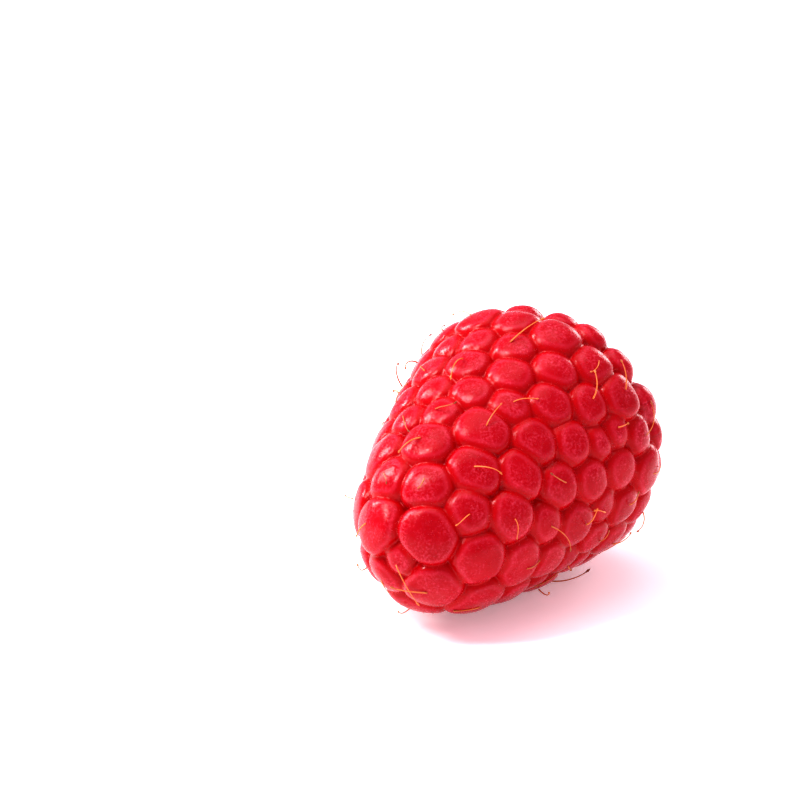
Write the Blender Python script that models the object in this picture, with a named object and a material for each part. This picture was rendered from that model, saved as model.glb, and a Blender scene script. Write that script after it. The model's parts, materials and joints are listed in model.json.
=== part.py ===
"""A picked raspberry, lying on its side.

One solid: a hollow cup of flesh, open where the berry came off its core, whose skin swells into a
drupelet at every seed. The skin is a net of cells, one for each drupelet, that meet along sunken
seams; the hollow is one more cell, which the rim's lobes surround. The berry is modelled along its
own axis, from the tip at the origin to the mouth at +X, then tilted so that it rests on its side,
and set down with the middle of its underside at the origin. Lengths are in metres, +Z is up.
"""

import math

import bpy
import numpy as np
from mathutils import Matrix, Vector
from mathutils.geometry import delaunay_2d_cdt

MM = 0.001

# The bed is the turned surface that the drupelets' centres lie on: a blunt cone, then a round rim.
BED_TIP_X = 2.1 * MM
BED_WIDEST_X = 19.3 * MM
BED_RADIUS = 8.5 * MM
BED_BLUNTNESS = 0.39  # power of the tip's outline: smaller is blunter
TIP_CROWDING = 2.2  # power that crowds the outline's points towards the tip, where it turns most
OUTLINE_POINTS = 400
BEND_POINTS = 40
SHOULDER_X = 20.1 * MM  # where the rim's bend starts, and the last row before the rim
RIM_BEND = (2.5 * MM, 2.3 * MM)  # semi-axes of the bend, along the berry and across it
RIM_LEAN = math.radians(16.0)  # the rim's lobes lean out by this from the berry's axis

# Drupelets
PITCH = 2.88 * MM  # between neighbours' centres on the bed
RIM_COUNT = 18
ROW_PITCH = 0.9  # between rows, as a share of the pitch
LAST_ROW = 0.45  # no row starts nearer the tip than this share of the pitch
ROW_SPREAD = 0.10  # a drupelet's deviation from its row, as a share of the pitch
CROWDING = 1.08  # the distance that drupelets are pushed to, as a share of the pitch
TIP_SWELL = 1.20  # drupelets near the tip are this much larger than those at the shoulder
SWELL_POWER = 1.5
APEX_SIZE = 0.8
SIZE_SPREAD = 0.11
SIZE_LIMITS = (0.78, 1.25)
DRUPELET_RADIUS = 0.76  # share of the local pitch
STRETCH = (0.94, 1.07)  # along the outline, and the other way across it
CROWN_RADIUS = 2.0 * MM  # semi-axis of a middling drupelet along its outward direction
CROWN_GROWTH = 0.45  # how much of a drupelet's extra size its crown takes up
RIM_LOBE = (2.65 * MM, 1.95 * MM, 2.6 * MM)  # semi-axes: along the outline, round the rim, outward
LOBE_SIZES = (0.95, 1.05)
LOBE_SPREAD = 0.13  # a lobe's deviation from even spacing, as a share of it
ROUNDNESS = 2.45  # power of the free skin's ellipsoid: over 2 is fuller
WALL_OVERLAP = 1.06  # neighbours' flattened sides lie this much past the plane between them
LOBE_OVERLAP = 1.15  # the same between the rim's lobes, whose grooves are shallower
SOFTNESS = 9.0  # power of the blend between free skin and flattened sides
WALL_LIMITS = (0.35, 0.65)  # a flattened side's place between two centres
NEIGHBOURHOOD = 2.2  # centres this many times the largest semi-axis apart press on each other
LEAST_SHARE = 0.12  # a corner lies at least this far inside the triangle of its three centres
RELAX_STEPS = 300
RELAX_RATE = 0.22
NEAREST_TIP = 0.05 * PITCH  # no drupelet is pushed nearer the tip than this
MOST_TURN = 0.3  # radians that a drupelet is pushed round the axis in one step
LONGEST_RAY = 5.0 * MM  # no skin reaches this far from where a ray starts
HALVINGS = 16
SEED = 11

# The hollow that the core leaves
MOUTH_X = 21.0 * MM  # the rim's lobes pass into the hollow's wall near this x and radius
MOUTH_RADIUS = 4.5 * MM
HOLLOW_END_X = 8.8 * MM
HOLLOW_POWERS = (2.4, 0.6)  # of the hollow's round end: its radius is (1 - depth ** one) ** the other
SCALLOP_FADE = 2  # power by which the lobes' scallops fade from the hollow's mouth inwards

# How it rests
TIP_DOWN = math.radians(13.0)
FLAT_DEPTH = 0.16 * MM  # how far the lowest drupelets are pressed flat
SLAB_SIZE = 60 * MM  # of the slab that presses them

SKIN_COLOUR = (0.62, 0.012, 0.045, 1.0)
SKIN_ROUGHNESS = 0.38

# Fineness of the net
RING_SHARES = (0.36, 0.64, 0.86)  # rings of a drupelet, between its crown at 0 and its seams at 1
LOBE_RING_SHARES = (0.3, 0.58, 0.82)
RING_LEAN = math.radians(20.0)  # a lobe's rings run round a line that leans into the hollow
SEAM_STEPS = 2
MOUTH_STEPS = 2
RIM_SEAM_STEPS = 6
HOLLOW_RINGS = 6


def clear_scene():
    """Removes whatever the scene holds."""
    for obj in list(bpy.data.objects):
        bpy.data.objects.remove(obj, do_unlink=True)


def unit(vectors):
    """Vectors at length one."""
    return vectors / np.linalg.norm(vectors, axis=-1, keepdims=True)


def bed_outline():
    """The bed's outline from the tip to the middle of the rim: arc length, x, radius.

    The fourth array is the integral of arc length over radius, which unrolls the bed onto a plane
    without changing angles.
    """
    share = np.linspace(0.0, 1.0, OUTLINE_POINTS) ** TIP_CROWDING
    x = BED_TIP_X + (SHOULDER_X - BED_TIP_X) * share
    radius = BED_RADIUS * np.minimum((x - BED_TIP_X) / (BED_WIDEST_X - BED_TIP_X), 1.0) ** BED_BLUNTNESS
    bend = np.linspace(0.0, math.pi / 2 - RIM_LEAN, BEND_POINTS)[1:]
    x = np.concatenate([x, SHOULDER_X + RIM_BEND[0] * np.sin(bend)])
    radius = np.concatenate([radius, BED_RADIUS - RIM_BEND[1] * (1.0 - np.cos(bend))])
    step = np.hypot(np.diff(x), np.diff(radius))
    arc = np.concatenate([[0.0], np.cumsum(step)])
    unrolled = np.concatenate([[0.0], np.cumsum(step / (0.5 * (radius[1:] + radius[:-1])))])
    return arc, x, radius, unrolled


def on_bed(arc, angle, outline):
    """Points of the bed at these arc lengths and angles, with the frame that each drupelet grows in."""
    arcs, xs, radii, _ = outline
    x, radius = np.interp(arc, arcs, xs), np.interp(arc, arcs, radii)
    along_x = np.interp(arc, arcs, np.gradient(xs, arcs))
    along_r = np.interp(arc, arcs, np.gradient(radii, arcs))
    length = np.hypot(along_x, along_r)
    along_x, along_r = along_x / length, along_r / length
    cos, sin = np.cos(angle), np.sin(angle)
    centre = np.stack([x, radius * cos, radius * sin], 1)
    along = np.stack([along_x, along_r * cos, along_r * sin], 1)
    around = np.stack([np.zeros_like(x), -sin, cos], 1)
    outward = np.stack([-along_r, along_x * cos, along_x * sin], 1)
    return centre, np.stack([along, around, outward], 1)


def planted_rows(outline, shoulder, random):
    """Rows of drupelets from the shoulder to the tip: arc length, angle and size of each."""
    rows, arc, turn = [], shoulder, 0.0
    while arc > LAST_ROW * PITCH:
        size = 1.0 + (TIP_SWELL - 1.0) * (1.0 - arc / shoulder) ** SWELL_POWER
        radius = np.interp(arc, outline[0], outline[2])
        count = max(1, round(2 * math.pi * radius / (PITCH * size)))
        turn += math.pi / count
        angle = turn + 2 * math.pi * np.arange(count) / count
        rows.append(np.stack([np.full(count, arc), angle, np.full(count, size)], 1))
        arc -= ROW_PITCH * PITCH * size
    rows.append(np.array([[0.0, 0.0, APEX_SIZE]]))
    planted = np.concatenate(rows)
    planted[:, 0] += random.normal(0.0, ROW_SPREAD, len(planted)) * PITCH
    planted[:, 2] *= np.clip(random.normal(1.0, SIZE_SPREAD, len(planted)), *SIZE_LIMITS)
    return planted


def relaxed(planted, outline, shoulder, rim):
    """Drupelets pushed along the bed until they sit as far apart as their sizes ask."""
    arc, angle, size = planted.T.copy()
    for _ in range(RELAX_STEPS):
        centre, frame = on_bed(arc, angle, outline)
        everyone = np.concatenate([centre, rim])
        sizes = np.concatenate([size, np.ones(len(rim))])
        apart = centre[:, None] - everyone[None]
        distance = np.linalg.norm(apart, axis=2) + 1e-12
        wanted = 0.5 * CROWDING * (size[:, None] + sizes[None]) * PITCH
        push = np.clip(wanted - distance, 0.0, None) / distance
        push[np.arange(len(arc)), np.arange(len(arc))] = 0.0
        move = RELAX_RATE * (apart * push[:, :, None]).sum(1)
        arc = np.clip(arc + (move * frame[:, 0]).sum(1), NEAREST_TIP, shoulder)
        radius = np.interp(arc, outline[0], outline[2])
        angle = angle + np.clip((move * frame[:, 1]).sum(1) / radius, -MOST_TURN, MOST_TURN)
    return arc, angle, size


class Drupelets:
    """Every drupelet's place, frame and size, with the rim's lobes last."""

    def __init__(self):
        random = np.random.default_rng(SEED)
        outline = bed_outline()
        shoulder = float(np.interp(SHOULDER_X, outline[1], outline[0]))
        rim_place = np.arange(RIM_COUNT) + random.uniform(-LOBE_SPREAD, LOBE_SPREAD, RIM_COUNT)
        rim_angle = 2 * math.pi * rim_place / RIM_COUNT
        rim_arc = np.full(RIM_COUNT, outline[0][-1])
        rim, _ = on_bed(rim_arc, rim_angle, outline)
        arc, angle, size = relaxed(planted_rows(outline, shoulder, random), outline, shoulder, rim)
        self.arc = np.concatenate([arc, rim_arc])
        self.angle = np.concatenate([angle, rim_angle])
        self.centre, self.frame = on_bed(self.arc, self.angle, outline)
        radius = DRUPELET_RADIUS * PITCH * size
        stretch = random.uniform(*STRETCH, len(size))
        height = CROWN_RADIUS * (1.0 + CROWN_GROWTH * (size - 1.0))
        rim_axes = np.array(RIM_LOBE) * random.uniform(*LOBE_SIZES, (RIM_COUNT, 1))
        self.axes = np.concatenate([np.stack([radius * stretch, radius / stretch, height], 1), rim_axes])
        rim_gap = 2 * math.pi * outline[2][-1] / RIM_COUNT
        self.reach = 0.5 * np.concatenate([PITCH * size, np.full(RIM_COUNT, rim_gap)])
        unrolled = np.exp(np.interp(self.arc, outline[0], outline[3]) - outline[3][-1])
        self.plan = np.stack([unrolled * np.cos(self.angle), unrolled * np.sin(self.angle)], 1)
        self.press()

    def press(self):
        """Works out the flattened sides: the plane between two neighbours, as direction and distance."""
        apart = self.centre[None] - self.centre[:, None]
        distance = np.linalg.norm(apart, axis=2)
        np.fill_diagonal(distance, 1.0)
        share = 0.5 + 0.5 * (self.reach[:, None] ** 2 - self.reach[None] ** 2) / distance**2
        overlap = np.full(distance.shape, WALL_OVERLAP)
        overlap[-RIM_COUNT:, -RIM_COUNT:] = LOBE_OVERLAP
        share = np.clip(share, *WALL_LIMITS) * distance * overlap
        near = distance < NEIGHBOURHOOD * self.axes.max(1)[:, None]
        np.fill_diagonal(near, False)
        self.wall_distance = np.where(near, share, np.inf)
        self.wall_direction = apart / distance[:, :, None]

    def skin(self, which, direction):
        """How far the skin lies from a drupelet's centre along each of these unit directions.

        An ellipsoid is blended with the flat sides that the neighbours press into it.
        """
        local = direction @ self.frame[which].T
        free = (np.abs(local / self.axes[which]) ** ROUNDNESS).sum(1) ** (SOFTNESS / ROUNDNESS)
        pressed = np.clip(direction @ self.wall_direction[which].T, 0.0, None) / self.wall_distance[which]
        return (free + (pressed**SOFTNESS).sum(1)) ** (-1.0 / SOFTNESS)

    def reach_along(self, direction):
        """How far the whole berry reaches along this direction."""
        ends = [self.skin(i, direction[None])[0] for i in range(len(self.centre))]
        return float((self.centre @ direction + np.array(ends)).max())


def corner_triangles(berry):
    """Threes of drupelets that meet at a corner, counter-clockwise from outside.

    Each gap between two rim lobes is such a corner too, with the hollow as the third.
    """
    points = [Vector(point) for point in berry.plan.tolist()]
    _, _, faces, sources, _, _ = delaunay_2d_cdt(points, [], [], 0, 1e-9)
    triangles = [[sources[vertex][0] for vertex in face] for face in faces]
    count = len(points)
    first = count - RIM_COUNT
    rim = [(first + i, first + (i + 1) % RIM_COUNT, count) for i in range(RIM_COUNT)]
    a, b, c = (berry.centre[np.array(triangles)[:, i]] for i in range(3))
    facing = np.einsum("ij,ij->i", np.cross(b - a, c - a), berry.frame[np.array(triangles)[:, 0], 2])
    triangles = [t if side > 0 else t[::-1] for t, side in zip(triangles, facing)]
    pairs = {(t[i], t[(i + 1) % 3]) for t in triangles for i in range(3)}
    return triangles + [[b, a, c] if (a, b) in pairs else [a, b, c] for a, b, c in rim]


def corner_rays(berry, triangles):
    """Where each corner's ray starts and points: from the place level with its three centres, outwards.

    The start lies in proportion to the drupelets' reach, where the planes between them cross.
    """
    count = len(berry.centre)
    inner = np.array([t for t in triangles if count not in t])
    a, b, c = (berry.centre[inner[:, i]] for i in range(3))
    ra, rb, rc = (berry.reach[inner[:, i]] ** 2 for i in range(3))
    u, v = b - a, c - a
    uu, uv, vv = (u * u).sum(1), (u * v).sum(1), (v * v).sum(1)
    p, q = 0.5 * (uu + ra - rb), 0.5 * (vv + ra - rc)
    s, t = (p * vv - q * uv) / (uu * vv - uv**2), (q * uu - p * uv) / (uu * vv - uv**2)
    shares = np.clip(np.stack([1.0 - s - t, s, t], 1), LEAST_SHARE, None)
    shares /= shares.sum(1)[:, None]
    starts = shares[:, :1] * a + shares[:, 1:2] * b + shares[:, 2:] * c
    return [*zip(starts, unit(np.cross(u, v)))]


def between_lobes(berry, lobes):
    """The middle of two neighbouring lobes' centres, and the direction there away from the berry's axis."""
    middle = 0.5 * (berry.centre[lobes[0]] + berry.centre[lobes[1]])
    return middle, unit(middle * [0.0, 1.0, 1.0])


class Seams:
    """The net's corners and seams, as points that the cells on both sides share."""

    def __init__(self, berry):
        self.hollow = len(berry.centre)
        self.triangles = corner_triangles(berry)
        self.rays = corner_rays(berry, self.triangles)
        for *lobes, _ in self.triangles[len(self.rays):]:
            middle, aside = between_lobes(berry, lobes)
            self.rays.append((middle, aside * MOUTH_RADIUS + [MOUTH_X, 0.0, 0.0] - middle))
        self.owners = [[cell for cell in t if cell != self.hollow] for t in self.triangles]
        self.places = self.on_skin(berry)
        self.corner_of = {(t[i], t[(i + 1) % 3]): n for n, t in enumerate(self.triangles) for i in range(3)}
        self.between = {}
        for (one, other), start in self.corner_of.items():
            if one < other:
                self.add_seam(berry, one, other, start, self.corner_of[other, one])
        self.places = self.on_skin(berry)

    def add_seam(self, berry, one, other, start, end):
        """Adds the rays of the points between a seam's two corners."""
        at_rim = one >= self.hollow - RIM_COUNT
        at_mouth = other == self.hollow
        steps = MOUTH_STEPS if at_mouth else RIM_SEAM_STEPS if at_rim else SEAM_STEPS
        made = []
        for share in np.arange(1, steps) / steps:
            if at_mouth:
                place = (1 - share) * self.places[start] + share * self.places[end]
                ray = berry.centre[one], place - berry.centre[one]
            elif at_rim:
                ray = self.over_rim(berry, (one, other), start, end, share)
            else:
                (near, up), (far, far_up) = self.rays[start], self.rays[end]
                ray = (1 - share) * near + share * far, (1 - share) * up + share * far_up
            made.append(len(self.rays))
            self.rays.append(ray)
            self.owners.append([cell for cell in (one, other) if cell != self.hollow])
        self.between[one, other] = made
        self.between[other, one] = made[::-1]

    def over_rim(self, berry, lobes, start, end, share):
        """A ray between two lobes, swung over the rim by this share of the way from corner to corner."""
        middle, aside = between_lobes(berry, lobes)
        turns = []
        for corner in (start, end):
            out = self.places[corner] - middle
            turns.append(math.atan2(out @ aside, out[0]))
        turn = (1 - share) * turns[0] + share * turns[1]
        return middle, math.sin(turn) * aside + [math.cos(turn), 0.0, 0.0]

    def on_skin(self, berry):
        """The place on each ray where it leaves the skins that meet there, on average.

        Each halving keeps the half of the stretch where the ray passes out of the skin.
        """
        start, up = (np.array(side) for side in zip(*self.rays))
        up = unit(up)
        pairs = np.array([(point, cell) for point, cells in enumerate(self.owners) for cell in cells])
        low, high = np.zeros(len(pairs)), np.full(len(pairs), LONGEST_RAY)
        for _ in range(HALVINGS):
            middle = 0.5 * (low + high)
            place = start[pairs[:, 0]] + middle[:, None] * up[pairs[:, 0]]
            inside = np.zeros(len(pairs), bool)
            for cell in range(self.hollow):
                own = pairs[:, 1] == cell
                out = place[own] - berry.centre[cell]
                inside[own] = np.linalg.norm(out, axis=1) < berry.skin(cell, unit(out))
            low, high = np.where(inside, middle, low), np.where(inside, high, middle)
        height = np.bincount(pairs[:, 0], low) / np.bincount(pairs[:, 0])
        return start + height[:, None] * up

    def loop(self, cell):
        """The points round one cell, in order."""
        after = {}
        for triangle in self.triangles:
            if cell in triangle:
                i = triangle.index(cell)
                after[triangle[i - 2]] = triangle[i - 1]
        loop, neighbour = [], next(iter(after))
        for _ in after:
            loop.append(self.corner_of[cell, neighbour])
            neighbour = after[neighbour]
            loop.extend(self.between[neighbour, cell])
        return loop


def fan(rings, pole):
    """Faces between rings of vertices, the last of them closed to a pole."""
    faces = []
    for outer, inner in zip(rings, rings[1:]):
        for i in range(len(outer)):
            j = (i + 1) % len(outer)
            faces.append((outer[i], outer[j], inner[j], inner[i]))
    last = rings[-1]
    faces += [(last[i], last[(i + 1) % len(last)], pole) for i in range(len(last))]
    return faces


def drupelet_directions(frame, direction, share):
    """Directions turned from a drupelet's outward direction by this share of their angle to it."""
    outward = frame[2]
    angle = np.arccos(np.clip(direction @ outward, -1.0, 1.0))[:, None]
    return (np.sin((1 - share) * angle) * outward + np.sin(share * angle) * direction) / np.sin(angle)


def lobe_directions(frame, direction, share):
    """The same for a rim's lobe, which is so long that the angles over it and across it shrink apart."""
    along, around, outward = frame @ direction.T
    over = RING_LEAN + share * (np.arctan2(along, outward) - RING_LEAN)
    across = share * np.arcsin(around)
    local = np.stack([np.cos(across) * np.sin(over), np.sin(across), np.cos(across) * np.cos(over)], 1)
    return local @ frame


def drupelet_points(berry, cell, edge):
    """A drupelet's skin: rings between its seams and its crown, then the crown."""
    centre, frame = berry.centre[cell], berry.frame[cell]
    directions, shares = drupelet_directions, RING_SHARES
    if cell >= len(berry.centre) - RIM_COUNT:
        directions, shares = lobe_directions, LOBE_RING_SHARES
    rings = []
    for share in (*shares[::-1], 0.0):
        turned = directions(frame, unit(edge - centre), share)
        rings.append(centre + berry.skin(cell, turned)[:, None] * turned)
    return np.concatenate([*rings[:-1], rings[-1][:1]])


def hollow_points(edge):
    """The hollow's wall: rings from its mouth, whose scallops fade, to its closed end."""
    turn = np.arctan2(edge[:, 2], edge[:, 1])
    mouth = np.hypot(edge[:, 1], edge[:, 2])
    rings = []
    for deep in np.sin(0.5 * math.pi * np.arange(1, HOLLOW_RINGS) / HOLLOW_RINGS):
        fade = (1 - deep) ** SCALLOP_FADE
        x = (1 - deep) * edge[:, 0] + deep * HOLLOW_END_X
        narrowed = (1 - deep ** HOLLOW_POWERS[0]) ** HOLLOW_POWERS[1]
        radius = (MOUTH_RADIUS + (mouth - MOUTH_RADIUS) * fade) * narrowed
        rings.append(np.stack([x, radius * np.cos(turn), radius * np.sin(turn)], 1))
    return np.concatenate([*rings, [[HOLLOW_END_X, 0.0, 0.0]]])


def berry_mesh(berry):
    """The whole skin as one closed mesh."""
    seams = Seams(berry)
    points, faces = [seams.places], []
    count = len(seams.places)
    for cell in range(seams.hollow + 1):
        loop = seams.loop(cell)
        edge = seams.places[loop]
        own = hollow_points(edge) if cell == seams.hollow else drupelet_points(berry, cell, edge)
        rings = (count + np.arange(len(own) - 1)).reshape(-1, len(loop)).tolist()
        faces += fan([loop, *rings], count + len(own) - 1)
        points.append(own)
        count += len(own)
    mesh = bpy.data.meshes.new("raspberry")
    mesh.from_pydata(np.concatenate(points).tolist(), [], faces)
    return mesh


def resting_pose(berry):
    """The berry turned onto its side and set down, as a matrix, with the floor at z = 0."""
    turn = Matrix.Rotation(-TIP_DOWN, 4, "Y")
    rows = np.array(turn.to_3x3())
    forward, left, up = (berry.reach_along(rows[i]) for i in range(3))
    back, right, down = (berry.reach_along(-rows[i]) for i in range(3))
    return Matrix.Translation((0.5 * (back - forward), 0.5 * (right - left), down - FLAT_DEPTH)) @ turn


def floor_cutter(collection):
    """A slab whose top is the floor, which presses the lowest drupelets flat."""
    bpy.ops.mesh.primitive_cube_add(size=SLAB_SIZE, location=(0, 0, -0.5 * SLAB_SIZE))
    slab = bpy.context.object
    for owner in list(slab.users_collection):
        owner.objects.unlink(slab)
    collection.objects.link(slab)
    slab.name = "floor_cutter"
    slab.display_type = "WIRE"
    slab.hide_render = True
    return slab


def skin_material():
    """The berry's red, softly glossy skin."""
    material = bpy.data.materials.new("raspberry_skin")
    material.use_nodes = True
    shader = material.node_tree.nodes["Principled BSDF"]
    shader.inputs["Base Color"].default_value = SKIN_COLOUR
    shader.inputs["Roughness"].default_value = SKIN_ROUGHNESS
    shader.inputs["Metallic"].default_value = 0.0
    material.diffuse_color = SKIN_COLOUR
    return material


def build():
    """Builds the raspberry as one solid."""
    clear_scene()
    parts = bpy.data.collections.new("raspberry")
    cutters = bpy.data.collections.new("cutters")
    for collection in (parts, cutters):
        bpy.context.scene.collection.children.link(collection)
    drupelets = Drupelets()
    mesh = berry_mesh(drupelets)
    mesh.transform(resting_pose(drupelets))
    mesh.shade_smooth()
    mesh.materials.append(skin_material())
    berry = bpy.data.objects.new("raspberry", mesh)
    parts.objects.link(berry)
    cut = berry.modifiers.new("flats", "BOOLEAN")
    cut.operation = "DIFFERENCE"
    cut.object = floor_cutter(cutters)


build()
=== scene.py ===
"""The looks of a picked raspberry that lies on its side.

The berry's fine skin stands for the part's faceted solid. It follows the same rule as that solid: a
net of cells, one for each drupelet, each an ellipsoid pressed flat against its neighbours, laid out
on a turned bed. Dried styles and a fine down grow out of it. Lengths are in metres, +Z is up.
"""

import json
import logging
import math
from dataclasses import dataclass, field
from enum import Enum

import bpy
import numpy as np
from mathutils import Matrix, Vector
from mathutils.geometry import delaunay_2d_cdt

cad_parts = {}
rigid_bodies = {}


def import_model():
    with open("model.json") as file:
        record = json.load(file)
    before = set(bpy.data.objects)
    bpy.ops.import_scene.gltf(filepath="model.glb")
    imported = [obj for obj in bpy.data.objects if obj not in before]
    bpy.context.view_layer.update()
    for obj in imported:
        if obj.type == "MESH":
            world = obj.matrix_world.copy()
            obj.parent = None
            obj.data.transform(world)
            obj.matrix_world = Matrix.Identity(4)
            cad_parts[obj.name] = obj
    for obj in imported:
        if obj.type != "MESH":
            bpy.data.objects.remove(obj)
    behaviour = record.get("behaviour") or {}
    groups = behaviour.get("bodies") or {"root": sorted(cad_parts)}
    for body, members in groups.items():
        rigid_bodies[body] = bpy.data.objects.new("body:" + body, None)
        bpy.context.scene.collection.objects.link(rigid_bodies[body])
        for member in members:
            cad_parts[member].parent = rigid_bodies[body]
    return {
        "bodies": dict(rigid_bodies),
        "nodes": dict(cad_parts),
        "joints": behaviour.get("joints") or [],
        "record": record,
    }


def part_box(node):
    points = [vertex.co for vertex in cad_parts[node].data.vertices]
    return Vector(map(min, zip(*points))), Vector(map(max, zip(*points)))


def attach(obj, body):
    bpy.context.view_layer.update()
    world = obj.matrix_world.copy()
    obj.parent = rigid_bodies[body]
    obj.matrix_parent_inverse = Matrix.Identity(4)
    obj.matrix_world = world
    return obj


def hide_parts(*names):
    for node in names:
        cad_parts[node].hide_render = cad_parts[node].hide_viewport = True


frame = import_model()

LOG = logging.getLogger("raspberry")
MM = 0.001
TINY = 1e-12
NODE = "raspberry"

BOX_SPARE = 0.022  # styles and down may stand out of the part's box by this share of its sides
FLOOR_GAP = 0.12 * MM  # styles and down stay this far off the floor

Colour = tuple[float, float, float, float]
Span = tuple[float, float]
Specks = tuple[float, float, float]  # the scale of the grain, and its low and high limits


class Region(Enum):
    """What a cell of the net is."""

    DRUPELET = "drupelet"
    LOBE = "rim lobe"
    HOLLOW = "hollow"


def unit(vectors: np.ndarray) -> np.ndarray:
    """Rows of an array, each scaled to length one."""
    return vectors / np.linalg.norm(vectors, axis=-1, keepdims=True)


@dataclass(frozen=True)
class Bed:
    """The turned surface that the drupelets' centres lie on: a blunt cone, then a round rim.

    It is measured along the berry's own axis, from the tip at the origin to the mouth at +X.
    """

    tip_x: float = 2.1 * MM
    widest_x: float = 19.3 * MM
    radius: float = 8.5 * MM
    bluntness: float = 0.39
    shoulder_x: float = 20.1 * MM
    bend_along: float = 2.5 * MM
    bend_across: float = 2.3 * MM
    rim_lean: float = math.radians(16.0)
    tip_crowding: float = 2.2
    outline_points: int = 400
    bend_points: int = 40

    def outline(self) -> tuple[np.ndarray, np.ndarray, np.ndarray, np.ndarray]:
        """The outline from the tip to the middle of the rim.

        Radius grows as a power of x up to the widest place, stays there to the shoulder, and then
        follows a quarter of an ellipse over the rim. The points crowd towards the tip, where the
        outline turns most.

        Returns:
            Arc length, x, radius, and the integral of arc length over radius.
        """
        share = np.linspace(0.0, 1.0, self.outline_points) ** self.tip_crowding
        x = self.tip_x + (self.shoulder_x - self.tip_x) * share
        grown = np.minimum((x - self.tip_x) / (self.widest_x - self.tip_x), 1.0)
        radius = self.radius * grown**self.bluntness
        bend = np.linspace(0.0, math.pi / 2 - self.rim_lean, self.bend_points)[1:]
        x = np.concatenate([x, self.shoulder_x + self.bend_along * np.sin(bend)])
        radius = np.concatenate([radius, self.radius - self.bend_across * (1.0 - np.cos(bend))])
        step = np.hypot(np.diff(x), np.diff(radius))
        arc = np.concatenate([[0.0], np.cumsum(step)])
        unrolled = np.concatenate([[0.0], np.cumsum(step / (0.5 * (radius[1:] + radius[:-1])))])
        return arc, x, radius, unrolled

    def place(self, arc: np.ndarray, angle: np.ndarray) -> tuple[np.ndarray, np.ndarray]:
        """Points of the bed, each with the frame that a drupelet grows in.

        Args:
            arc: Arc lengths along the outline.
            angle: Angles round the axis.

        Returns:
            The points, and for each three rows: along the outline, round the axis, outward.
        """
        arcs, xs, radii, _ = self.outline()
        x, radius = np.interp(arc, arcs, xs), np.interp(arc, arcs, radii)
        along_x = np.interp(arc, arcs, np.gradient(xs, arcs))
        along_r = np.interp(arc, arcs, np.gradient(radii, arcs))
        length = np.hypot(along_x, along_r)
        along_x, along_r = along_x / length, along_r / length
        cos, sin = np.cos(angle), np.sin(angle)
        centre = np.stack([x, radius * cos, radius * sin], 1)
        along = np.stack([along_x, along_r * cos, along_r * sin], 1)
        around = np.stack([np.zeros_like(x), -sin, cos], 1)
        outward = np.stack([-along_r, along_x * cos, along_x * sin], 1)
        return centre, np.stack([along, around, outward], 1)


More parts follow.
